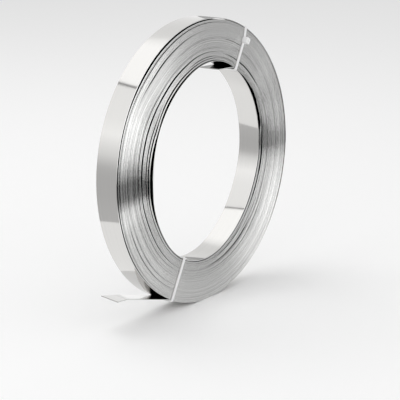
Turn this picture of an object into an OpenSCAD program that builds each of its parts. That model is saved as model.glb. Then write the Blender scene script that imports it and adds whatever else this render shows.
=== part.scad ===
// Coil of steel banding strip, held by two cable ties.
// The coil stands on its rim: its axis lies along Y, its front end faces -Y and Z is up.
// The ties pinch the turns tight where they pass, and between them the inner turns spring loose,
// so the outside is round and the bore is an oval.

/* [Strip] */
// Width of the strip, and so of the coil
strip_w = 20; // [12:0.5:32]
// Thickness of the strip
strip_t = 0.7; // [0.5:0.05:0.9]

/* [Winding] */
// Outside diameter of the coil
coil_d = 233; // [190:1:280]
// Turns in the wall
turns = 50; // [44:1:54]
// Turns on the inside that have sprung loose
loose_turns = 18; // [14:1:24]
// Turns in each band that shows on the ends of the tight part
band_turns = 2; // [1:1:6]
// How far the bands stand out of line along the axis
band_shift = 0.35; // [0.1:0.05:0.6]
// How far the loose turns spring into the bore at its sides
spring_in = 9.5; // [4:0.1:12]
// Lean of the bore's long axis from upright, towards +X
lean_angle = 12.5; // [0:0.5:25]
// Gaps that show between the loose turns
gap_count = 5; // [2:1:6]
// Width of such a gap at the sides of the bore
gap_side = 1.1; // [0.6:0.1:1.6]
// Width of such a gap at the ends of the long axis
gap_tight = 0.25; // [0.2:0.05:0.5]
// Depth to which a gap is open from each end
gap_depth = 5; // [2:0.5:5.5]

/* [Free ends] */
// Angle at which the tail leaves the coil beside the lower tie
tail_angle = 10; // [6:0.5:20]
// Straight length of the tail
tail_len = 54; // [20:1:80]
// Angle by which the tail's tip is bent away from the coil
tip_angle = 15; // [5:1:40]
// Length of the bent tip
tip_len = 12; // [4:1:25]
// Inside radius of the bend
bend_r = 4; // [2:0.5:8]
// Angle at which the inner end leaves the bore beside the upper tie
inner_angle = 26.5; // [12:0.5:30]
// Length of the inner end
inner_len = 19; // [8:1:28]

/* [Ties] */
// Place of the upper tie, counted from +X towards +Z
upper_angle = 62; // [56:0.5:72]
// Place of the lower tie
lower_angle = -115; // [-125:0.5:-106]
// Width of a tie's strap
strap_w = 2.5; // [2:0.1:4]
// Thickness of the strap
strap_t = 1; // [0.8:0.1:1.4]
// Play between strap and coil
strap_play = 0.15; // [0.05:0.05:0.25]
// Length of the head along the strap
head_len = 5; // [4.5:0.1:8]
// Width of the head
head_w = 4.8; // [4.5:0.1:7]
// Height of the head
head_h = 4.6; // [3:0.1:6]
// Radius of the head's corners
head_r = 0.9; // [0.4:0.1:2]
// Length of the cut end that stands out of the head
stub_len = 0.8; // [0.4:0.1:3]
// Place of the head along the wall, as a share of the way from the bore to the rim
head_share = 0.7; // [0.2:0.05:0.8]

/* [Hidden] */
$fn = 96;
// Overrun of a cut past the face that it opens
over = strip_w/20;
coil_r = coil_d/2;
half_w = strip_w/2;
// Half the bore, along its long axis and across it
long_r = coil_r - turns*strip_t;
short_r = long_r - spring_in;
// Tight turns lie outside this radius, loose ones inside it
tight_r = long_r + loose_turns*strip_t;
band_count = ceil((turns - loose_turns)/band_turns);
band_w = (coil_r - tight_r)/band_count;
// Turn of the wave that sets each band's place along the axis
band_angle = 137.5;
// Face of the furthest band, on which the straps lie
face_y = half_w + band_shift;
// How far out the centres of an oval's side and end arcs lie, as a share of its long radius less its short one
centre_share = [1.5, 2];
// Where those arcs meet, as a share of an end arc's radius
join_share = 0.8;
bend_steps = 6;
// Room between a tie and the strip that leaves beside it
end_play = 0.4;
// Length of a free end that stays sunk in the winding
root_len = 4*strip_t;
// Inside radius of the strap's corners, small enough to clear the coil's square edges
strap_r = 3*strap_play;
bore_c = spring_in*centre_share.y;
bore_end_r = long_r - bore_c;

function mix(a, b, f) = a + (b - a)*f;
function snap(v) = round(v*100)/100;
function band_y(i) = band_shift*cos(i*band_angle);
function off_axis(a) = a - (90 - lean_angle);
// Distance from the axis to the bore's wall at an angle, near the long axis
function bore_at(a) = bore_c*abs(cos(off_axis(a)))
    + sqrt(pow(bore_end_r, 2) - pow(bore_c*sin(off_axis(a)), 2));
// Slant of the bore's wall there, as the sine of its angle
function bore_slant(a) = bore_c*abs(sin(off_axis(a)))/bore_end_r;

// Draws in the plane of the coil's ends, X across and Z up, and gives it depth along Y
module across(depth) {
    rotate([90, 0, 0])
        linear_extrude(depth, center = true)
            children();
}

// An oval with four centres: two large discs that cross, and a smaller one in each end
module oval(side_r, end_r) {
    a = snap(side_r);
    b = snap(end_r);
    c = (b - a)*centre_share;
    intersection() {
        translate([-c.x, 0])
            circle(a + c.x);
        translate([c.x, 0])
            circle(a + c.x);
        square([coil_d, 2*mix(c.y, b, join_share)], center = true);
    }
    translate([0, c.y])
        circle(b - c.y);
    translate([0, -c.y])
        circle(b - c.y);
}

// The wound body: flat where the turns are loose, then band after band of tight turns
module winding() {
    inner_r = short_r - over;
    front = [for (i = [0:band_count - 1]) each [
        [tight_r + i*band_w, half_w + band_y(i)],
        [tight_r + (i + 1)*band_w, half_w + band_y(i)]
    ]];
    back = [for (i = [band_count - 1:-1:0]) each [
        [tight_r + (i + 1)*band_w, -half_w + band_y(i)],
        [tight_r + i*band_w, -half_w + band_y(i)]
    ]];
    rotate([90, 0, 0])
        rotate_extrude()
            polygon(concat(
                [[inner_r, half_w], [tight_r, half_w]],
                front,
                back,
                [[tight_r, -half_w], [inner_r, -half_w]]
            ));
}

module bore() {
    across(strip_w + 4*over)
        rotate(-lean_angle)
            oval(short_r, long_r);
}

// Gaps between the loose turns, wide at the sides and almost closed on the long axis
module gaps() {
    for (i = [1:gap_count], side = [-1, 1]) {
        side_r = mix(short_r, tight_r, i/(gap_count + 1));
        end_r = mix(long_r, tight_r, i/(gap_count + 1));
        translate([0, side*half_w, 0])
            across(2*gap_depth)
                rotate(-lean_angle)
                    difference() {
                        oval(side_r + gap_side/2, end_r + gap_tight/2);
                        oval(side_r - gap_side/2, end_r - gap_tight/2);
                    }
    }
}

// A free end of strip, drawn along +X from where its outer side leaves the turn below
module free_end(lift, len, bend, tip) {
    outer = [for (i = [0:bend_steps])
        let (a = bend*i/bend_steps)
        [len + bend_r*sin(a), bend_r*(1 - cos(a))]
    ];
    under = [for (i = [bend_steps:-1:0])
        let (a = bend*i/bend_steps)
        [len + (bend_r + strip_t)*sin(a), bend_r - (bend_r + strip_t)*cos(a)]
    ];
    tip_move = [tip*cos(bend), tip*sin(bend)];
    translate([strap_w/2 + end_play, 0])
        rotate(lift)
            polygon(concat(
                [[-root_len, 0]],
                outer,
                [outer[bend_steps] + tip_move, under[0] + tip_move],
                under,
                [[-root_len, -strip_t]]
            ));
}

module tail() {
    across(strip_w)
        rotate(lower_angle - 90)
            translate([0, coil_r])
                free_end(tail_angle, tail_len, tip_angle, tip_len);
}

// The inner end is straight and stands into the bore
module inner_end() {
    across(strip_w)
        rotate(upper_angle + 90)
            translate([strap_w/2 + end_play, -bore_at(upper_angle)])
                rotate(inner_angle)
                    translate([-root_len, -strip_t])
                        square([inner_len + root_len, strip_t]);
}

module strip_coil() {
    color("Silver") {
        difference() {
            winding();
            bore();
            gaps();
        }
        tail();
        inner_end();
    }
}

module rounded(size, r) {
    square([size.x - 2*r, size.y], center = true);
    square([size.x, size.y - 2*r], center = true);
    for (x = [-1, 1], y = [-1, 1])
        translate([x*(size.x/2 - r), y*(size.y/2 - r)])
            circle(r);
}

// A tie round the wall of the coil, with its head on the front (-1) or the back (1)
module tie(a, side) {
    low = bore_at(a) - strap_play - bore_slant(a)*strap_w/2;
    high = coil_r + strap_play;
    loop = [high - low, 2*(face_y + strap_play)];
    rotate([0, -a, 0]) {
        translate([mix(low, high, 0.5), 0, 0])
            linear_extrude(strap_w, center = true)
                difference() {
                    rounded(loop + [2*strap_t, 2*strap_t], strap_r + strap_t);
                    rounded(loop, strap_r);
                }
        translate([mix(low, high, head_share), side*loop.y/2, 0])
            rotate([-side*90, 0, 0]) {
                linear_extrude(head_h)
                    rounded([head_len, head_w], head_r);
                linear_extrude(head_h + stub_len)
                    square([strap_t, strap_w], center = true);
            }
    }
}

module upper_tie() {
    color("White")
        tie(upper_angle, -1);
}

module lower_tie() {
    color("White")
        tie(lower_angle, 1);
}

strip_coil();
upper_tie();
lower_tie();
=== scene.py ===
"""Coil of steel banding strip held by two cable ties, dressed for the camera.

The strip is wound as the real one is: one long strip, turn on turn, from the free end in the bore
to the tail on the rim. All lengths are in metres and all angles in radians, in the part's own frame:
the axis lies along Y, the front end faces -Y and Z is up.
"""

import math

import bpy
import numpy as np
from mathutils import Matrix, Vector


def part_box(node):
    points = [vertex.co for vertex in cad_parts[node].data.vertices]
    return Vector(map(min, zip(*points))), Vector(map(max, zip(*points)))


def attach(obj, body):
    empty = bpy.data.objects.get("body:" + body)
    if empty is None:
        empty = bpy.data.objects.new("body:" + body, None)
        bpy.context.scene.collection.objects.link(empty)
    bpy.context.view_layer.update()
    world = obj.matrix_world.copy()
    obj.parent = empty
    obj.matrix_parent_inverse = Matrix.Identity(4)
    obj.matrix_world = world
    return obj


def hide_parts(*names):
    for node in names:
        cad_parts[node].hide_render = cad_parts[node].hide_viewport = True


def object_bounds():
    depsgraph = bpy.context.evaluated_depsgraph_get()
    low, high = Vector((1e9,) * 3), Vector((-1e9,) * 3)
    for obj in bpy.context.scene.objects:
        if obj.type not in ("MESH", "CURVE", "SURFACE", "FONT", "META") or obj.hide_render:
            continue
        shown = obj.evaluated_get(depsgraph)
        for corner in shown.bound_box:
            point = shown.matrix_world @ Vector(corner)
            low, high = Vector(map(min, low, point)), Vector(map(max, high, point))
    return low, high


bl_info = {
    "name": "Coil of Steel Strip",
    "version": (1, 0, 0),
    "blender": (4, 5, 0),
    "location": "View3D > Sidebar > Coil",
    "description": "Winds a coil of steel banding strip, ties it and stands it on a studio floor",
    "category": "Object",
}

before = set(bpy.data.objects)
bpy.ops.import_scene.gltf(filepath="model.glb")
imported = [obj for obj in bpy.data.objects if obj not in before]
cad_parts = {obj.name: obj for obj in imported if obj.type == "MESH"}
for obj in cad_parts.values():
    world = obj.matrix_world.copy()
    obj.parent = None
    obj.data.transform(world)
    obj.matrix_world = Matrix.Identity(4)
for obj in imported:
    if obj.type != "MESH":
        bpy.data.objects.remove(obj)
CAD_BOX = [list(corner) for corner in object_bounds()]
COIL_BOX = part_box("strip_coil")
MM = 0.001

# Angles in the coil's plane are counted from +X towards +Z
QUARTER = math.pi/2

# Rings of the strip's section in one turn, in the bend at the root of a free end and in its straight run
RINGS_PER_TURN = 100
BEND_STEPS = 5
RUN_STEPS = 40
# Whole turns by which the strip falls short of the wall's count, which leaves slack for the gaps
SHORT_TURNS = 2
# Room between a tie and the strip that leaves beside it
END_PLAY = 0.4*MM
# Radius to which the section's corners are first rounded, as a share of the thickness
EDGE_ROUND = 0.47
# Faces whose normals point along the axis by more than this are edges of the strip
EDGE_FACING = 0.3
# Faces that meet at a larger angle keep their crease, on the strip and on a tie
STRIP_CREASE = math.radians(50)
TIE_CREASE = math.radians(40)

# Centres of the end and side arcs of the oval bore, as shares of how far the turns spring in
END_CENTRE = 2
SIDE_CENTRE = 1.5
# Where those arcs meet, across and along the bore, as shares of an end arc's radius
JOIN_ACROSS = 0.6
JOIN_ALONG = 0.8

# Gaps between the turns: the turn after which each opens, and the arcs of the coil where it shows,
# each as its middle, half width and fade in degrees and the share that it takes of the slack there.
GAPS = [
    (0.62, [(40, 14, 8, 0.58), (24, 12, 8, 0.42)]),
    (0.92, [(0, 360, 1, 0.08), (108, 36, 26, 0.24), (182, 26, 18, 0.25)]),
    (2.40, [(-2, 16, 8, 0.14), (-25, 12, 8, 0.05)]),
    (2.90, [(0, 360, 1, 0.08), (108, 32, 24, 0.22), (172, 30, 14, 0.12), (57, 15, 8, 0.14)]),
    (3.90, [(73, 8, 4, 0.24), (292, 16, 8, 0.16)]),
    (4.90, [(94, 10, 6, 0.24), (168, 26, 14, 0.10)]),
    (6.60, [(312, 16, 8, 0.08)]),
    (8.60, [(60, 20, 6, 0.30), (291, 20, 8, 0.22)]),
    (9.90, [(0, 360, 1, 0.05), (112, 26, 20, 0.22), (160, 30, 16, 0.12), (212, 26, 10, 0.10)]),
    (13.90, [(176, 22, 10, 0.08), (215, 30, 14, 0.06), (300, 28, 14, 0.08), (125, 34, 12, 0.08),
             (84, 8, 4, 0.10)]),
    (18.90, [(55, 12, 6, 0.14)]),
    (20.90, [(190, 40, 20, 0.04)]),
    (25.40, [(71, 9, 4, 0.24), (97, 16, 10, 0.10)]),
    (29.50, [(220, 22, 12, 0.07)]),
    (31.20, [(182, 10, 8, 0.05)]),
    (34.60, [(222, 22, 12, 0.08)]),
    (36.30, [(118, 18, 14, 0.17)]),
    (44.60, [(105, 34, 28, 0.16), (175, 50, 20, 0.04)]),
    (47.20, [(105, 34, 28, 0.22), (175, 50, 20, 0.04)]),
    (47.70, [(5, 40, 12, 0.08)]),
]
# Part of a turn over which a gap opens, and the most of the slack that the gaps take together
GAP_RAMP = 0.35
GAPS_LIMIT = 0.97
# The slack that no gap takes lies between the innermost turns, up to this share of the winding, and
# thins out by this power
LOOSE_SHARE = 0.45
LOOSE_POWER = 1.5
# Parts of a turn: where the innermost turn leaves the bore's line, over how much it does, and over how
# much the outermost one comes on to the rim's line
RISE_START = 0.85
RISE_RAMP = 0.15
LIFT_RAMP = 0.12
# Where the innermost turns have sprung further into the bore, in degrees as above, and how far
SPRUNG_ARC = (140, 50, 22, 1.4*MM)
# Where they are pushed back out of it, in the same way
PUSHED_ARC = (14, 30, 16, 1.6*MM)
# How the turns stand out of line and lean: seeded noise, each as its step in turns and its spread
SEED = 20
WANDER_NOISE = ((0.45, 0.4), (3.0, 0.4))
LEAN_NOISE = (1.3, 0.8)
# The ties press the turns flush: half width and fade in degrees, and the share of the wander that goes
PRESSED = (3, 3, 0.9)
# The turn at which the painted shade inside the winding starts, behind the free inner end, and the part
# of a turn over which it starts and ends. It colours the faces between the turns dark so that the gaps
# look black
GAP_SHADE_START = 0.935
GAP_SHADE_RAMP = 0.03

# How far each strap has slipped sideways at the bore, at the head and at the rim
UPPER_LEAN = (-0.6*MM, -0.5*MM, 2.2*MM)
LOWER_LEAN = (2.0*MM, 0.6*MM, 0.0)
# Room between a strap and the strip's edges
STRAP_ROOM = 0.05*MM
# How far the furthest turns of the part's source stand out of line: its head is counted from there
TURNS_OUT = 0.35*MM
# Inside radius of a strap's corners, in plays of the strap
CORNER_PLAYS = 3
# Radius on the edges of the strap, the head and the cut end
STRAP_ROUND = 0.22*MM
HEAD_EDGE_ROUND = 0.35*MM
STUB_ROUND = 0.2*MM
# Edges of the strap and the head that are sharper than this are rounded
ROUNDED_ANGLE = math.radians(50)
# Length of the cut end that is sunk in the head
STUB_SUNK = 0.5*MM

# Rolling lines on the strip's faces, and cloudy patches in the nylon
LINE_LENGTH_MM = 150
LINE_WIDTH = 0.6*MM
CLOUD_SIZE = 2*MM

FLOOR_SIZE = 16.0
SENSOR_WIDTH_MM = 36.0
CLIP_NEAR, CLIP_FAR = 0.05, 50.0
# Softboxes: azimuth and elevation in degrees, distance, width and height, and level of light
LAMPS = (
    ("overhead_lamp", 92, 66, 1.6, (1.15, 1.15), 1.38),
    ("front_lamp", -106, 25, 2.0, (3.8, 1.2), 0.41),
    ("left_lamp", 180, 30, 2.0, (2.0, 1.2), 0.55),
)
# Steps round a card, and the height of what lies on the floor
CARD_STEPS = 48
LYING = 2*MM
# Cards that the metal mirrors: the azimuths between which each stands and its fade at both ends, in
# degrees, then its profile as distances from the axis, heights above the floor and levels of light
CARDS = (
    ("front_panel", (-150, -62), 0, [(1.95, 0.03, 1.80), (1.80, 1.20, 1.80)]),
    ("left_card", (45, 185), 28, [
        (0.09, LYING, 1.15), (0.215, LYING, 1.15), (0.216, LYING, 0.68), (0.40, LYING, 0.64),
        (0.90, 0.01, 0.64), (1.40, 0.10, 0.70), (1.50, 0.30, 1.02), (1.50, 0.65, 1.38),
        (1.50, 0.95, 1.28), (1.50, 1.64, 1.24), (1.50, 1.75, 1.52), (1.10, 2.10, 1.52),
        (0.40, 2.50, 1.44), (0.02, 2.50, 1.3)]),
    ("left_line", (75, 185), 12, [(1.49, 1.66, 0.30), (1.49, 1.72, 0.30)]),
    ("front_card", (-178, -54), 0, [
        (0.18, LYING, 1.2), (0.25, LYING, 1.2), (0.33, LYING, 0.04), (0.75, LYING, 0.04)]),
    ("right_card", (-54, -22), 0, [(0.15, LYING, 0.66), (1.2, LYING, 0.60), (1.2, 1.3, 0.52)]),
    ("side_card", (-22, 8), 0, [
        (0.15, LYING, 0.75), (0.46, LYING, 0.75), (0.52, LYING, 1.3), (1.2, LYING, 1.3),
        (1.2, 0.01, 0.44), (1.2, 1.3, 0.44)]),
    ("rim_card", (8, 36), 0, [
        (0.15, LYING, 0.75), (0.35, LYING, 0.40), (0.46, LYING, 0.35), (0.52, LYING, 1.3),
        (1.2, LYING, 1.3), (1.2, 0.01, 0.44), (1.2, 1.3, 0.44)]),
)


def linear(hex_colour):
    """Turns an sRGB hex colour into linear red, green, blue and alpha."""
    channels = [int(hex_colour[i:i + 2], 16)/255 for i in (1, 3, 5)]
    return tuple(c/12.92 if c <= 0.04045 else ((c + 0.055)/1.055)**2.4 for c in channels) + (1.0,)


class StripSettings(bpy.types.PropertyGroup):
    """Sizes and colours of the wound strip."""

    width: bpy.props.FloatProperty(
        name="Width", description="Width of the strip, and so of the coil",
        default=20*MM, min=0.0, unit="LENGTH")
    thickness: bpy.props.FloatProperty(
        name="Thickness", description="Thickness of the strip, less than its nominal 0.7 mm for slack",
        default=0.672*MM, min=0.0, unit="LENGTH")
    wall: bpy.props.FloatProperty(
        name="Wall", description="Wall of the coil on the long axis of its bore",
        default=35*MM, min=0.0, unit="LENGTH")
    diameter: bpy.props.FloatProperty(
        name="Diameter", description="Outside diameter of the coil",
        default=COIL_BOX[1].z - COIL_BOX[0].z, min=0.0, unit="LENGTH")
    turns: bpy.props.IntProperty(
        name="Turns", description="Turns that the wall has room for", default=50, min=4)
    spring_in: bpy.props.FloatProperty(
        name="Spring in", description="How far the loose turns spring into the bore at its sides",
        default=9.5*MM, unit="LENGTH")
    lean: bpy.props.FloatProperty(
        name="Lean", description="Lean of the bore's long axis from upright, towards +X",
        default=math.radians(12.5), unit="ROTATION")
    edge_lean: bpy.props.FloatProperty(
        name="Edge lean", description="How far the edge of a turn may lean out of square",
        default=math.radians(0.7), unit="ROTATION")
    edge_crown: bpy.props.FloatProperty(
        name="Edge crown", description="Height of the low crown on the strip's rolled edges",
        default=0.21*MM, unit="LENGTH")
    wander: bpy.props.FloatProperty(
        name="Wander", description="How far a turn may stand out of line along the axis",
        default=0.18*MM, unit="LENGTH")
    tail_angle: bpy.props.FloatProperty(
        name="Tail angle", description="Angle at which the tail leaves the coil",
        default=math.radians(10), unit="ROTATION")
    tail_length: bpy.props.FloatProperty(
        name="Tail length", description="Straight length of the tail",
        default=55*MM, unit="LENGTH")
    tip_angle: bpy.props.FloatProperty(
        name="Tip angle", description="Angle by which the tail's tip is bent away at the front",
        default=math.radians(11), unit="ROTATION")
    tip_back_angle: bpy.props.FloatProperty(
        name="Tip back angle", description="Angle by which the tail's tip is bent away at the back",
        default=math.radians(2.6), unit="ROTATION")
    tip_length: bpy.props.FloatProperty(
        name="Tip length", description="Length of the bent tip",
        default=12*MM, unit="LENGTH")
    crease_slant: bpy.props.FloatProperty(
        name="Crease slant", description="Angle by which the bend at the tip is out of square",
        default=math.radians(35), unit="ROTATION")
    tip_slant: bpy.props.FloatProperty(
        name="Tip slant", description="Angle by which the cut at the tail's tip is out of square",
        default=math.radians(10), unit="ROTATION")
    bend_radius: bpy.props.FloatProperty(
        name="Bend radius", description="Radius of the bends in the free ends",
        default=4.35*MM, unit="LENGTH")
    inner_angle: bpy.props.FloatProperty(
        name="Inner end angle", description="Angle at which the inner end leaves the bore",
        default=math.radians(26.5), unit="ROTATION")
    inner_length: bpy.props.FloatProperty(
        name="Inner end length", description="Length of the free inner end",
        default=19*MM, unit="LENGTH")
    face_colour: bpy.props.FloatVectorProperty(
        name="Face colour", description="Colour of the rolled faces",
        size=4, subtype="COLOR", default=linear("#CECDCB"))
    edge_colour: bpy.props.FloatVectorProperty(
        name="Edge colour", description="Colour of the slit edges",
        size=4, subtype="COLOR", default=linear("#ECECEB"))
    # Painted shade: the dark colour of the faces inside the winding, so that the gaps between the turns
    # look black
    gap_shade_colour: bpy.props.FloatVectorProperty(
        name="Oil colour", description="Colour of the faces under the film of rolling oil",
        size=4, subtype="COLOR", default=linear("#454443"))


class TieSettings(bpy.types.PropertyGroup):
    """Sizes, places and colour of the two ties."""

    upper_angle: bpy.props.FloatProperty(
        name="Upper tie", description="Place of the upper tie, counted from +X towards +Z",
        default=math.radians(62), unit="ROTATION")
    lower_angle: bpy.props.FloatProperty(
        name="Lower tie", description="Place of the lower tie",
        default=math.radians(-115), unit="ROTATION")
    strap_width: bpy.props.FloatProperty(
        name="Strap width", description="Width of a tie's strap",
        default=2.5*MM, unit="LENGTH")
    strap_thickness: bpy.props.FloatProperty(
        name="Strap thickness", description="Thickness of a tie's strap",
        default=1.0*MM, unit="LENGTH")
    play: bpy.props.FloatProperty(
        name="Play", description="Play between strap and coil",
        default=0.15*MM, unit="LENGTH")
    head_length: bpy.props.FloatProperty(
        name="Head length", description="Length of the head along the strap",
        default=5*MM, unit="LENGTH")
    head_width: bpy.props.FloatProperty(
        name="Head width", description="Width of the head",
        default=4.8*MM, unit="LENGTH")
    head_height: bpy.props.FloatProperty(
        name="Head height", description="Height of the head",
        default=4.6*MM, unit="LENGTH")
    head_round: bpy.props.FloatProperty(
        name="Head radius", description="Radius of the head's corners",
        default=0.9*MM, unit="LENGTH")
    stub_length: bpy.props.FloatProperty(
        name="Stub length", description="Length of the cut end that stands out of the head",
        default=0.8*MM, unit="LENGTH")
    head_share: bpy.props.FloatProperty(
        name="Head place", description="Place of the head on the wall, from the bore to the rim",
        default=0.7, subtype="FACTOR")
    colour: bpy.props.FloatVectorProperty(
        name="Tie colour", description="Colour of the nylon",
        size=4, subtype="COLOR", default=linear("#F0F0F0"))


class StageSettings(bpy.types.PropertyGroup):
    """The studio: floor, lamps and camera."""

    floor_colour: bpy.props.FloatVectorProperty(
        name="Floor colour", description="Colour of the studio floor",
        size=4, subtype="COLOR", default=linear("#FCFCFC"))
    fill: bpy.props.FloatProperty(
        name="Fill light", description="Level of the even light from all round",
        default=0.73, subtype="FACTOR")
    camera_place: bpy.props.FloatVectorProperty(
        name="Camera place", description="Where the camera stands",
        size=3, subtype="TRANSLATION", unit="LENGTH", default=(-0.9622, -0.7079, 0.2699))
    camera_turn: bpy.props.FloatProperty(
        name="Camera azimuth", description="Turn of the camera round the coil from its front",
        default=math.radians(-53.75), unit="ROTATION")
    camera_rise: bpy.props.FloatProperty(
        name="Camera elevation", description="Angle at which the camera looks down",
        default=math.radians(14.26), unit="ROTATION")
    lens: bpy.props.FloatProperty(
        name="Lens", description="Focal length on a 36 mm sensor",
        default=135.0, unit="CAMERA")


# Shaping

def deselect_all():
    """Leaves edit mode and selects nothing."""
    if bpy.context.object and bpy.context.object.mode != "OBJECT":
        bpy.ops.object.mode_set(mode="OBJECT")
    bpy.ops.object.select_all(action="DESELECT")


def apply_modifier(obj, kind, **settings):
    """Adds a modifier to the active object with these settings and applies it."""
    bpy.ops.object.modifier_add(type=kind)
    modifier = obj.modifiers[-1]
    for name, value in settings.items():
        setattr(modifier, name, value)
    bpy.ops.object.modifier_apply(modifier=modifier.name)


def ramp(x):
    """Eases from 0 to 1 while x goes from 0 to 1."""
    x = np.clip(x, 0.0, 1.0)
    return x*x*(3 - 2*x)


def arc_shares(angle, arcs):
    """The largest share of the arcs at each angle. Each arc eases to nothing over its fade."""
    share = np.zeros_like(angle)
    for middle, half, fade, full in arcs:
        off = np.abs((np.degrees(angle) - middle + 180) % 360 - 180)
        share = np.maximum(share, full*ramp((half + fade - off)/(2*fade)))
    return share


def smooth_noise(x, rng, step, spread):
    """A smooth random curve over x: seeded knots a step apart with eased joins."""
    knots = rng.normal(0.0, spread, int(x.max()/step) + 3)
    i = np.floor(x/step).astype(int)
    f = ramp(x/step - i)
    return knots[i]*(1 - f) + knots[i + 1]*f


def bore_radius(angle, strip):
    """Distance from the axis to the oval bore's wall: four arcs, as in the part's source."""
    long_r = strip.diameter/2 - strip.wall
    short_r = long_r - strip.spring_in
    end_c, side_c = END_CENTRE*strip.spring_in, SIDE_CENTRE*strip.spring_in
    end_r, side_r = long_r - end_c, short_r + side_c
    off = np.abs((angle - QUARTER + strip.lean + QUARTER) % math.pi - QUARTER)
    join = math.atan2(JOIN_ACROSS*end_r, end_c + JOIN_ALONG*end_r)
    end = end_c*np.cos(off) + np.sqrt(np.maximum(end_r**2 - (end_c*np.sin(off))**2, 0))
    side = -side_c*np.sin(off) + np.sqrt(np.maximum(side_r**2 - (side_c*np.cos(off))**2, 0))
    return np.where(off < join, end, side)


def free_end(start, heading, turn, run, bend_radius):
    """Points of a free end of strip: a bend from the start and its heading, then a straight run."""
    bend = np.linspace(0.0, 1.0, BEND_STEPS + 1)[1:]
    headings = heading + turn*np.concatenate([bend, np.ones(RUN_STEPS)])
    steps = np.repeat([abs(turn)*bend_radius/BEND_STEPS, run/RUN_STEPS], [BEND_STEPS, RUN_STEPS])
    ways = np.stack([np.cos(headings), np.sin(headings)], axis=1)
    return start + np.cumsum(steps[:, None]*ways, axis=0)


def turned(heading, target):
    """The smaller angle from one heading to another."""
    return (target - heading + math.pi) % (2*math.pi) - math.pi


def heading_of(step):
    """The heading of a step in X and Z."""
    return math.atan2(step[1], step[0])


def winding_radius(turn, angle, strip):
    """Distance from the axis to the middle of the strip's thickness, with the gaps between the turns."""
    t, wound = strip.thickness, turn[-1]
    bore = bore_radius(angle, strip) - arc_shares(angle, [SPRUNG_ARC]) + arc_shares(angle, [PUSHED_ARC])
    slack = strip.diameter/2 - bore - (wound + 1)*t
    shares = [arc_shares(angle, arcs) for _, arcs in GAPS]
    taken = sum(shares)
    scale = np.minimum(1.0, GAPS_LIMIT/np.maximum(taken, 1e-9))
    opened = sum(
        share*scale*ramp((turn - after)/GAP_RAMP) for share, (after, _) in zip(shares, GAPS))
    loose = 1 - (1 - np.minimum(turn/(LOOSE_SHARE*wound), 1.0))**LOOSE_POWER
    opened = opened + (1 - taken*scale)*loose
    # The innermost turn springs down on to the bore's line, and the outermost one up to the rim's
    drop = -turn*t*(1 - ramp((turn - RISE_START)/RISE_RAMP))
    lift = (wound - turn)*t*ramp((turn - wound + 1)/LIFT_RAMP)
    return bore + turn*t + slack*opened + np.where(turn < 1, drop, 0) + lift + t/2


def lie_of_turns(turn, angle, strip, ties):
    """How far the turns stand out of line along the axis, and how far their edges lean."""
    rng = np.random.default_rng(SEED)
    wander = sum(smooth_noise(turn, rng, step, spread) for step, spread in WANDER_NOISE)
    wander = strip.wander*np.tanh(wander)
    pressed = [(math.degrees(place), *PRESSED) for place in (ties.upper_angle, ties.lower_angle)]
    wander *= 1 - arc_shares(angle, pressed)
    lean = math.tan(strip.edge_lean)*np.tanh(smooth_noise(turn, rng, *LEAN_NOISE))
    return wander, lean


def strip_path(strip, ties):
    """The strip's line from the inner end to the tail's tip.

    Gives the middle of its thickness in X and Z, its place along the axis, the lean of its edges and
    the turn it lies in.
    """
    beside = ties.strap_width/2 + END_PLAY
    first = ties.upper_angle + beside/bore_radius(np.array(ties.upper_angle), strip)
    last = ties.lower_angle - beside/(strip.diameter/2)
    wound = strip.turns - SHORT_TURNS + (first - last)/(2*math.pi)
    turn = np.linspace(0.0, wound, int(wound*RINGS_PER_TURN) + 1)
    angle = first - 2*math.pi*turn
    radius = winding_radius(turn, angle, strip)
    wander, lean = lie_of_turns(turn, angle, strip, ties)

    line = np.stack([radius*np.cos(angle), radius*np.sin(angle)], axis=1)
    out_heading = heading_of(line[-1] - line[-2])
    tail_heading = ties.lower_angle - QUARTER + strip.tail_angle
    tail = free_end(line[-1], out_heading, turned(out_heading, tail_heading),
                    strip.tail_length + strip.tip_length, strip.bend_radius)
    in_heading = heading_of(line[0] - line[1])
    inner_heading = ties.upper_angle + QUARTER + strip.inner_angle
    inner = free_end(line[0], in_heading, turned(in_heading, inner_heading),
                     strip.inner_length, strip.bend_radius)

    line = np.concatenate([inner[::-1], line, tail])
    wander, lean, turn = (
        np.concatenate([np.full(len(inner), values[0]), values, np.full(len(tail), values[-1])])
        for values in (wander, lean, turn))
    return line, wander, lean, turn


def strip_section(strip):
    """The strip's cross-section as a closed outline: X through its thickness, Y across its width."""
    deselect_all()
    bpy.ops.mesh.primitive_plane_add(size=1.0)
    obj = bpy.context.object
    bpy.ops.object.mode_set(mode="EDIT")
    bpy.ops.transform.resize(value=(strip.thickness, strip.width, 1.0))
    bpy.ops.mesh.bevel(
        offset=EDGE_ROUND*strip.thickness, offset_type="OFFSET", segments=3, affect="VERTICES")
    bpy.ops.mesh.delete(type="ONLY_FACE")
    bpy.ops.object.mode_set(mode="OBJECT")
    # The round ends are flattened to the low crown of a rolled edge
    root = strip.width/2 - EDGE_ROUND*strip.thickness
    for vertex in obj.data.vertices:
        rise = abs(vertex.co.y) - root
        if rise > 0:
            crown = strip.width/2 - strip.edge_crown*(1 - rise/(EDGE_ROUND*strip.thickness))
            vertex.co.y = math.copysign(crown, vertex.co.y)
    return obj


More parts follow.
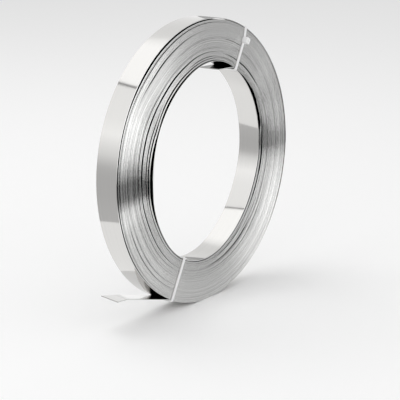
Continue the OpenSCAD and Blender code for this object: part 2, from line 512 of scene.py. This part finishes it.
def bend_tip(place, across, run, along, outward, strip):
    """Bends the tail's tip along a slanted crease and slants its cut.

    The tip is bent more at the front than at the back.
    """
    tail, tip = strip.tail_length, strip.tip_length
    crease, cut = math.tan(strip.crease_slant), math.tan(strip.tip_slant)
    station = tail + tip - (run[-1] - run)
    from_front = across + strip.width/2
    shear = np.interp(station, [0, tail, tail + tip], [0, crease, cut])
    place[:, :, ::2] -= (shear[:, None]*from_front)[:, :, None]*along[:, None, :]
    front_drop = tip*math.tan(strip.tip_angle)
    back_drop = (tip + strip.width*(crease - cut))*math.tan(strip.tip_back_angle)
    drop = front_drop + (back_drop - front_drop)*from_front/strip.width
    bent = np.clip((station - tail)/tip, 0, 1)
    place[:, :, ::2] += (bent[:, None]*drop)[:, :, None]*outward[:, None, :]


def wind_strip(strip, ties):
    """Turns the section round the axis and lays each of its rings on the strip's line."""
    obj = strip_section(strip)
    obj.name = obj.data.name = "wound_strip"
    section = np.array([v.co for v in obj.data.vertices])
    line, wander, lean, turn = strip_path(strip, ties)
    rings = len(line)
    # The turned shape only makes the mesh: each ring gets its place below
    apply_modifier(obj, "SCREW", axis="Y", angle=2*math.pi*strip.turns, steps=rings - 1,
                   render_steps=rings - 1, use_merge_vertices=False)
    along = np.gradient(line, axis=0)
    along /= np.linalg.norm(along, axis=1, keepdims=True)
    # The line runs clockwise seen from the front, so its outer side is on its left
    outward = np.stack([-along[:, 1], along[:, 0]], axis=1)
    place = np.zeros((rings, len(section), 3))
    place[:, :, 0] = line[:, None, 0] + outward[:, None, 0]*section[None, :, 0]
    place[:, :, 1] = wander[:, None] + section[None, :, 1] + lean[:, None]*section[None, :, 0]
    place[:, :, 2] = line[:, None, 1] + outward[:, None, 1]*section[None, :, 0]
    run = np.concatenate([[0.0], np.cumsum(np.linalg.norm(np.diff(line, axis=0), axis=1))])
    bend_tip(place, section[:, 1], run, along, outward, strip)
    obj.data.vertices.foreach_set("co", place.astype(np.float32).ravel())
    # The faces inside the winding get painted shade so that the gaps between turns look black: only the
    # first turn shows in the bore and only the last one on the rim
    inside = ramp((turn - GAP_SHADE_START)/GAP_SHADE_RAMP)*ramp((turn[-1] - 1 - turn)/GAP_SHADE_RAMP)
    for name, values in (("run_mm", run/MM), ("turn", turn), ("gap_shade", inside)):
        attribute = obj.data.attributes.new(name, "FLOAT", "POINT")
        attribute.data.foreach_set("value", np.repeat(values, len(section)).astype(np.float32))

    bpy.ops.object.mode_set(mode="EDIT")
    bpy.ops.mesh.select_all(action="SELECT")
    bpy.ops.mesh.fill_holes(sides=0)
    bpy.ops.mesh.select_all(action="SELECT")
    bpy.ops.mesh.normals_make_consistent(inside=False)
    bpy.ops.object.mode_set(mode="OBJECT")
    bpy.ops.object.shade_smooth_by_angle(angle=STRIP_CREASE)
    apply_modifier(obj, "WEIGHTED_NORMAL", mode="FACE_AREA", weight=80, keep_sharp=True)
    return obj


def paint_edges(obj, edge_index):
    """Gives the edges of the strip, which face the ends of the coil, their own material."""
    normals = np.zeros(len(obj.data.polygons)*3, np.float32)
    obj.data.polygons.foreach_get("normal", normals)
    facing = np.abs(normals.reshape(-1, 3)[:, 1])
    slots = np.where(facing > EDGE_FACING, edge_index, 0)
    obj.data.polygons.foreach_set("material_index", slots.astype(np.int32))


def tie_frame(angle, strip, ties):
    """Inner and outer reach of a tie's loop along its radius, and half its loop along the axis.

    The last value is how far from the middle the head's top lies.
    """
    bore_c = END_CENTRE*strip.spring_in
    end_r = strip.diameter/2 - strip.wall - bore_c
    slant = bore_c*abs(math.sin(angle - QUARTER + strip.lean))/end_r
    wall = float(bore_radius(np.array(angle), strip))
    low = wall - ties.play - slant*ties.strap_width/2
    high = strip.diameter/2 + ties.play
    half = strip.width/2 + STRAP_ROOM
    top = strip.width/2 + TURNS_OUT + ties.play + ties.head_height
    return low, high, half, top


def mould_strap(low, high, half, lean, ties):
    """The strap's loop, in the tie's own frame: X along the coil's radius, Y along its axis.

    It leans sideways by the three values of lean: at the bore, at the head and at the rim.
    """
    deselect_all()
    bpy.ops.mesh.primitive_plane_add(size=1.0, location=((low + high)/2, 0.0, 0.0))
    obj = bpy.context.object
    bpy.ops.object.mode_set(mode="EDIT")
    t = ties.strap_thickness
    bpy.ops.transform.resize(value=(high - low + t, 2*half + t, 1.0))
    bpy.ops.mesh.bevel(
        offset=CORNER_PLAYS*ties.play + t/2, offset_type="OFFSET", segments=5, affect="VERTICES")
    bpy.ops.mesh.delete(type="ONLY_FACE")
    bpy.ops.mesh.select_all(action="SELECT")
    bpy.ops.transform.translate(value=(0.0, 0.0, -ties.strap_width/2))
    bpy.ops.mesh.extrude_region_move(TRANSFORM_OT_translate={"value": (0.0, 0.0, ties.strap_width)})
    bpy.ops.mesh.select_all(action="SELECT")
    bpy.ops.mesh.normals_make_consistent(inside=False)
    # A cut at the head lets the strap kink there
    head_x = low + (high - low)*ties.head_share
    bpy.ops.mesh.bisect(plane_co=(head_x, 0.0, 0.0), plane_no=(1.0, 0.0, 0.0))
    bpy.ops.object.mode_set(mode="OBJECT")
    bpy.ops.object.transform_apply(location=True, rotation=True, scale=True)
    apply_modifier(obj, "SOLIDIFY", thickness=t, offset=0.0, use_even_offset=True)
    apply_modifier(obj, "BEVEL", width=STRAP_ROUND, segments=2, limit_method="ANGLE",
                   angle_limit=ROUNDED_ANGLE)
    for vertex in obj.data.vertices:
        vertex.co.z += np.interp(vertex.co.x, [low, head_x, high], lean)
    return obj


def mould_head(place_x, base, top, side, ties):
    """The locking head: a block with round corners, standing on the strap."""
    deselect_all()
    bpy.ops.mesh.primitive_plane_add(size=1.0, location=(place_x, side*base, 0.0),
                                     rotation=(QUARTER, 0.0, 0.0))
    head = bpy.context.object
    bpy.ops.object.mode_set(mode="EDIT")
    bpy.ops.transform.resize(value=(ties.head_length, 1.0, ties.head_width))
    bpy.ops.mesh.bevel(offset=ties.head_round, offset_type="OFFSET", segments=4, affect="VERTICES")
    bpy.ops.mesh.select_all(action="SELECT")
    bpy.ops.mesh.extrude_region_move(
        TRANSFORM_OT_translate={"value": (0.0, side*(top - base), 0.0)})
    bpy.ops.mesh.select_all(action="SELECT")
    bpy.ops.mesh.normals_make_consistent(inside=False)
    bpy.ops.object.mode_set(mode="OBJECT")
    bpy.ops.object.transform_apply(location=True, rotation=True, scale=True)
    apply_modifier(head, "BEVEL", width=HEAD_EDGE_ROUND, segments=3, limit_method="ANGLE",
                   angle_limit=ROUNDED_ANGLE)
    return head


def mould_stub(place_x, top, side, ties):
    """The cut end of the strap that stands out of the head."""
    deselect_all()
    middle = side*(top + (ties.stub_length - STUB_SUNK)/2)
    bpy.ops.mesh.primitive_cube_add(size=1.0, location=(place_x, middle, 0.0))
    stub = bpy.context.object
    bpy.ops.object.mode_set(mode="EDIT")
    bpy.ops.transform.resize(
        value=(ties.strap_thickness, ties.stub_length + STUB_SUNK, ties.strap_width))
    bpy.ops.object.mode_set(mode="OBJECT")
    bpy.ops.object.transform_apply(location=True, rotation=True, scale=True)
    apply_modifier(stub, "BEVEL", width=STUB_ROUND, segments=2, limit_method="NONE")
    return stub


def mould_tie(name, angle, side, lean, strip, ties):
    """One tie round the coil's wall, with its head on the front (-1) or the back (1)."""
    low, high, half, top = tie_frame(angle, strip, ties)
    head_x = low + (high - low)*ties.head_share
    parts = [mould_strap(low, high, half, lean, ties),
             mould_head(head_x, half, top, side, ties),
             mould_stub(head_x, top, side, ties)]
    for part in parts[1:]:
        part.data.transform(Matrix.Translation((0.0, 0.0, lean[1])))
    deselect_all()
    for part in parts:
        part.select_set(True)
    bpy.context.view_layer.objects.active = parts[0]
    bpy.ops.object.join()
    obj = bpy.context.object
    obj.name = obj.data.name = name
    obj.data.transform(Matrix.Rotation(-angle, 4, "Y"))
    bpy.ops.object.shade_smooth_by_angle(angle=TIE_CREASE)
    return obj


# Materials

def add_node(tree, kind, links=None, **settings):
    """Adds a node with these settings. Links maps input names or numbers to values or outputs."""
    node = tree.nodes.new(kind)
    for name, value in settings.items():
        setattr(node, name, value)
    for socket, value in (links or {}).items():
        if isinstance(value, bpy.types.NodeSocket):
            tree.links.new(value, node.inputs[socket])
        else:
            node.inputs[socket].default_value = value
    return node


def shaded(colour, share):
    """The colour made darker or lighter by a share."""
    return tuple(min(1.0, c*share) for c in colour[:3]) + (1.0,)


def new_material(name):
    """A material with an empty node tree, and that tree."""
    material = bpy.data.materials.new(name)
    material.use_nodes = True
    material.node_tree.nodes.clear()
    return material, material.node_tree


def rolled_stainless(colour, gap_shade_colour):
    """Cold-rolled stainless strip: near mirror bright, with faint lines along the rolling direction.

    Inside the winding its faces are given a painted shade, a dark colour, so that the gaps between turns
    look black.
    """
    material, tree = new_material("cold_rolled_stainless_strip")
    run = add_node(tree, "ShaderNodeAttribute", attribute_name="run_mm", attribute_type="GEOMETRY")
    place = add_node(tree, "ShaderNodeTexCoord")
    across = add_node(tree, "ShaderNodeSeparateXYZ", {0: place.outputs["Object"]})
    # The lines are 0.02 mm wide in life, and are drawn coarser so that they show
    lines_run = add_node(tree, "ShaderNodeMath", {
        0: run.outputs["Fac"], 1: 1/LINE_LENGTH_MM}, operation="MULTIPLY")
    lines_across = add_node(tree, "ShaderNodeMath", {
        0: across.outputs["Y"], 1: 1/LINE_WIDTH}, operation="MULTIPLY")
    lines_place = add_node(tree, "ShaderNodeCombineXYZ", {
        "X": lines_run.outputs[0], "Y": lines_across.outputs[0]})
    lines = add_node(tree, "ShaderNodeTexNoise", {
        "Vector": lines_place.outputs[0], "Scale": 1.0, "Detail": 2.0, "Roughness": 0.6})
    roughness = add_node(tree, "ShaderNodeMapRange", {
        "Value": lines.outputs["Fac"], "From Min": 0.3, "From Max": 0.7, "To Min": 0.05, "To Max": 0.10})
    tone = add_node(tree, "ShaderNodeMix", {
        "Factor": lines.outputs["Fac"],
        "A": shaded(colour, 0.94), "B": shaded(colour, 1.04)}, data_type="RGBA")
    # Painted shade: the faces inside the winding turn dark, so that the gaps between the turns look black
    gap_shade = add_node(tree, "ShaderNodeAttribute", attribute_name="gap_shade", attribute_type="GEOMETRY")
    gap_shaded = add_node(tree, "ShaderNodeMix", {
        "Factor": gap_shade.outputs["Fac"], "A": tone.outputs["Result"], "B": gap_shade_colour}, data_type="RGBA")
    shader = add_node(tree, "ShaderNodeBsdfPrincipled", {
        "Base Color": gap_shaded.outputs["Result"], "Metallic": 1.0, "Roughness": roughness.outputs[0]})
    add_node(tree, "ShaderNodeOutputMaterial", {"Surface": shader.outputs[0]})
    return material


def slit_edge(colour):
    """Slit and rolled edge of the strip: a duller metal that changes a little from turn to turn."""
    material, tree = new_material("slit_stainless_edge")
    turn = add_node(tree, "ShaderNodeAttribute", attribute_name="turn", attribute_type="GEOMETRY")
    # One noise cell for every 1.6 turns and finer ones in it, so that neighbouring turns differ
    shade = add_node(tree, "ShaderNodeTexNoise", {
        "W": turn.outputs["Fac"], "Scale": 0.62, "Detail": 2.0, "Roughness": 0.65}, noise_dimensions="1D")
    tone = add_node(tree, "ShaderNodeMix", {
        "Factor": shade.outputs["Fac"],
        "A": shaded(colour, 0.85), "B": shaded(colour, 1.12)}, data_type="RGBA")
    roughness = add_node(tree, "ShaderNodeMapRange", {
        "Value": shade.outputs["Fac"], "From Min": 0.3, "From Max": 0.7, "To Min": 0.16, "To Max": 0.10})
    shader = add_node(tree, "ShaderNodeBsdfPrincipled", {
        "Base Color": tone.outputs["Result"], "Metallic": 1.0, "Roughness": roughness.outputs[0]})
    add_node(tree, "ShaderNodeOutputMaterial", {"Surface": shader.outputs[0]})
    return material


def moulded_nylon(colour):
    """Natural nylon 6/6, injection moulded: milky white and softly glossy."""
    material, tree = new_material("moulded_natural_nylon")
    place = add_node(tree, "ShaderNodeTexCoord")
    # Cloudiness of the moulding
    cloud = add_node(tree, "ShaderNodeTexNoise", {
        "Vector": place.outputs["Object"], "Scale": 1/CLOUD_SIZE, "Detail": 2.0})
    tone = add_node(tree, "ShaderNodeMix", {
        "Factor": cloud.outputs["Fac"],
        "A": shaded(colour, 0.93), "B": colour}, data_type="RGBA")
    shader = add_node(tree, "ShaderNodeBsdfPrincipled", {
        "Base Color": tone.outputs["Result"], "Roughness": 0.42, "IOR": 1.53,
        "Subsurface Weight": 0.15, "Subsurface Scale": 1*MM, "Subsurface Radius": (1.0, 1.0, 0.9)})
    add_node(tree, "ShaderNodeOutputMaterial", {"Surface": shader.outputs[0]})
    return material


def matt_floor(colour):
    """Painted studio floor: plain and matt."""
    material, tree = new_material("matt_studio_floor")
    shader = add_node(tree, "ShaderNodeBsdfDiffuse", {"Color": colour})
    add_node(tree, "ShaderNodeOutputMaterial", {"Surface": shader.outputs[0]})
    return material


def lit_card(name):
    """A studio card that shines at the level that its own mesh says: black at 0 and white at 1."""
    material, tree = new_material(name)
    level = add_node(tree, "ShaderNodeAttribute", attribute_name="level", attribute_type="GEOMETRY")
    shader = add_node(tree, "ShaderNodeEmission", {
        "Color": (1.0, 1.0, 1.0, 1.0), "Strength": level.outputs["Fac"]})
    add_node(tree, "ShaderNodeOutputMaterial", {"Surface": shader.outputs[0]})
    return material


# Stage

def direction(azimuth, elevation):
    """Unit vector at these degrees: azimuth from +X towards +Y, elevation above the floor."""
    a, e = math.radians(azimuth), math.radians(elevation)
    return Vector((math.cos(a)*math.cos(e), math.sin(a)*math.cos(e), math.sin(e)))


def studio_card(name, azimuths, fade, profile):
    """A curved card that the camera doesn't see and that shows in the metal only.

    It spans the azimuths, in degrees, and with a fade it turns white at both ends. Its profile runs
    outwards through points that are each a distance from the coil's axis, a height above the floor
    and a level of light.
    """
    deselect_all()
    rows = len(profile) - 1
    bpy.ops.mesh.primitive_grid_add(x_subdivisions=CARD_STEPS, y_subdivisions=rows, size=1.0)
    obj = bpy.context.object
    obj.name = obj.data.name = name
    levels = obj.data.attributes.new("level", "FLOAT", "POINT")
    for vertex in obj.data.vertices:
        degrees = azimuths[0] + (vertex.co.x + 0.5)*(azimuths[1] - azimuths[0])
        reach, height, level = profile[round((vertex.co.y + 0.5)*rows)]
        inside = min(degrees - azimuths[0], azimuths[1] - degrees)
        a = math.radians(degrees)
        vertex.co = (reach*math.cos(a), reach*math.sin(a), CAD_BOX[0][2] + height)
        levels.data[vertex.index].value = 1 + (level - 1)*(float(ramp(inside/fade)) if fade else 1)
    obj.data.materials.append(lit_card(name))
    obj.visible_camera = False
    obj.visible_diffuse = False
    obj.visible_shadow = False


def light_world(fill):
    """Even light from all round, and plain white where the camera and the metal see past the floor."""
    world = bpy.data.worlds.new("studio")
    bpy.context.scene.world = world
    world.use_nodes = True
    tree = world.node_tree
    tree.nodes.clear()
    path = add_node(tree, "ShaderNodeLightPath")
    seen = add_node(tree, "ShaderNodeMath", {
        0: path.outputs["Is Camera Ray"], 1: path.outputs["Is Glossy Ray"]}, operation="MAXIMUM")
    seen = add_node(tree, "ShaderNodeMath", {
        0: seen.outputs[0], 1: path.outputs["Is Transmission Ray"]}, operation="MAXIMUM")
    level = add_node(tree, "ShaderNodeMapRange", {
        "Value": seen.outputs[0], "To Min": fill, "To Max": 1.0})
    background = add_node(tree, "ShaderNodeBackground", {
        "Color": (1.0, 1.0, 1.0, 1.0), "Strength": level.outputs[0]})
    add_node(tree, "ShaderNodeOutputWorld", {"Surface": background.outputs[0]})


def area_lamp(name, azimuth, elevation, distance, size, level):
    """A softbox that faces the coil and lights what is matt: the metal shows the cards instead.

    A level of 1 would show as white.
    """
    deselect_all()
    towards = direction(azimuth, elevation)
    bpy.ops.object.light_add(type="AREA", location=towards*distance)
    lamp = bpy.context.object
    lamp.name = lamp.data.name = name
    lamp.rotation_euler = towards.to_track_quat("Z", "Y").to_euler()
    lamp.data.shape = "RECTANGLE"
    lamp.data.size, lamp.data.size_y = size
    lamp.data.energy = level*math.pi*size[0]*size[1]
    lamp.visible_camera = False
    lamp.visible_glossy = False


def stand_camera(stage):
    """The camera, at the photograph's angle."""
    camera = bpy.data.cameras.new("camera")
    camera.lens = stage.lens
    camera.sensor_width = SENSOR_WIDTH_MM
    camera.clip_start, camera.clip_end = CLIP_NEAR, CLIP_FAR
    obj = bpy.data.objects.new("camera", camera)
    bpy.context.scene.collection.objects.link(obj)
    a, e = stage.camera_turn, stage.camera_rise
    back = Vector((math.sin(a)*math.cos(e), -math.cos(a)*math.cos(e), math.sin(e)))
    obj.location = stage.camera_place
    obj.rotation_euler = back.to_track_quat("Z", "Y").to_euler()
    bpy.context.scene.camera = obj


# Operators

class COIL_OT_wind_strip(bpy.types.Operator):
    """Wind the steel strip into its coil, with its two free ends"""

    bl_idname = "coil.wind_strip"
    bl_label = "Wind Strip"

    def execute(self, context):
        strip = context.scene.coil_strip
        obj = wind_strip(strip, context.scene.coil_ties)
        obj.data.materials.append(rolled_stainless(tuple(strip.face_colour), tuple(strip.gap_shade_colour)))
        obj.data.materials.append(slit_edge(tuple(strip.edge_colour)))
        paint_edges(obj, 1)
        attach(obj, "root")
        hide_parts("strip_coil")
        return {"FINISHED"}


class COIL_OT_mould_ties(bpy.types.Operator):
    """Mould the two nylon cable ties round the coil's wall"""

    bl_idname = "coil.mould_ties"
    bl_label = "Mould Ties"

    def execute(self, context):
        strip, ties = context.scene.coil_strip, context.scene.coil_ties
        nylon = moulded_nylon(tuple(ties.colour))
        for node, angle, side, lean in (("upper_tie", ties.upper_angle, -1, UPPER_LEAN),
                                        ("lower_tie", ties.lower_angle, 1, LOWER_LEAN)):
            obj = mould_tie(node + "_moulded", angle, side, lean, strip, ties)
            obj.data.materials.append(nylon)
            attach(obj, "root")
            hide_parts(node)
        return {"FINISHED"}


class COIL_OT_set_stage(bpy.types.Operator):
    """Lay the studio floor and set the lamps, the cards and the camera"""

    bl_idname = "coil.set_stage"
    bl_label = "Set Stage"

    def execute(self, context):
        stage = context.scene.coil_stage
        deselect_all()
        bpy.ops.mesh.primitive_plane_add(size=1.0)
        floor = context.object
        floor.name = floor.data.name = "floor"
        floor.data.transform(Matrix.Diagonal((FLOOR_SIZE, FLOOR_SIZE, 1.0, 1.0)))
        floor.data.transform(Matrix.Translation((0, 0, CAD_BOX[0][2])))
        floor.data.materials.append(matt_floor(tuple(stage.floor_colour)))
        light_world(stage.fill)
        for lamp in LAMPS:
            area_lamp(*lamp)
        for card in CARDS:
            studio_card(*card)
        stand_camera(stage)
        context.scene.view_settings.view_transform = "Standard"
        return {"FINISHED"}


class COIL_PT_parts(bpy.types.Panel):
    """Lists the coil's sizes and the steps that build it"""

    bl_idname = "COIL_PT_parts"
    bl_label = "Coil of Steel Strip"
    bl_space_type = "VIEW_3D"
    bl_region_type = "UI"
    bl_category = "Coil"

    def draw(self, context):
        layout = self.layout
        for step, settings in STEPS:
            layout.operator(step)
            group = getattr(context.scene, settings)
            box = layout.box()
            for name in group.__annotations__:
                box.prop(group, name)


STEPS = (
    ("coil.wind_strip", "coil_strip"),
    ("coil.mould_ties", "coil_ties"),
    ("coil.set_stage", "coil_stage"),
)
GROUPS = {"coil_strip": StripSettings, "coil_ties": TieSettings, "coil_stage": StageSettings}
CLASSES = (
    StripSettings, TieSettings, StageSettings,
    COIL_OT_wind_strip, COIL_OT_mould_ties, COIL_OT_set_stage, COIL_PT_parts,
)


def register():
    for cls in CLASSES:
        bpy.utils.register_class(cls)
    for name, group in GROUPS.items():
        setattr(bpy.types.Scene, name, bpy.props.PointerProperty(type=group))


def unregister():
    for name in GROUPS:
        delattr(bpy.types.Scene, name)
    for cls in reversed(CLASSES):
        bpy.utils.unregister_class(cls)


def main():
    """Builds the coil and its stage."""
    register()
    bpy.ops.coil.wind_strip()
    bpy.ops.coil.mould_ties()
    bpy.ops.coil.set_stage()


if __name__ == "__main__":
    main()
